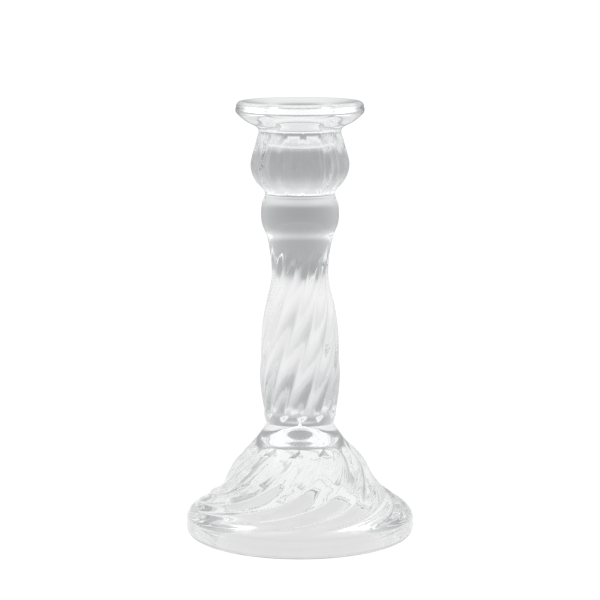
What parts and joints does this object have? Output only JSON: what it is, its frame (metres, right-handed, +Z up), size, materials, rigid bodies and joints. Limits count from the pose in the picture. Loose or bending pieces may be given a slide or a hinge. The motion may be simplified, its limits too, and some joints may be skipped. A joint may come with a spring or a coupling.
{
  "type": "candlestick",
  "caption": "Clear pressed-glass candlestick with a domed hollow foot, twisted fluted stem, plain knop, fluted cup and round drip pan with a socket for one taper candle.",
  "frame": {"origin": "on the vertical axis, at the plane the foot rests on", "axes": "+Z up along the stem, out of the candle socket; -Y faces the viewer; +X to the viewer's right"},
  "size_m": [0.1052, 0.1052, 0.2],
  "materials": {
    "clear_glass": "clear, colourless, fire-polished, slightly wavy from the press mould"
  },
  "bodies": {
    "root": {"foot_rim": "clear_glass", "foot_bell": "clear_glass", "collar": "clear_glass", "stem": "clear_glass", "knop": "clear_glass", "candle_cup": "clear_glass", "drip_pan": "clear_glass"}
  },
  "joints": []
}
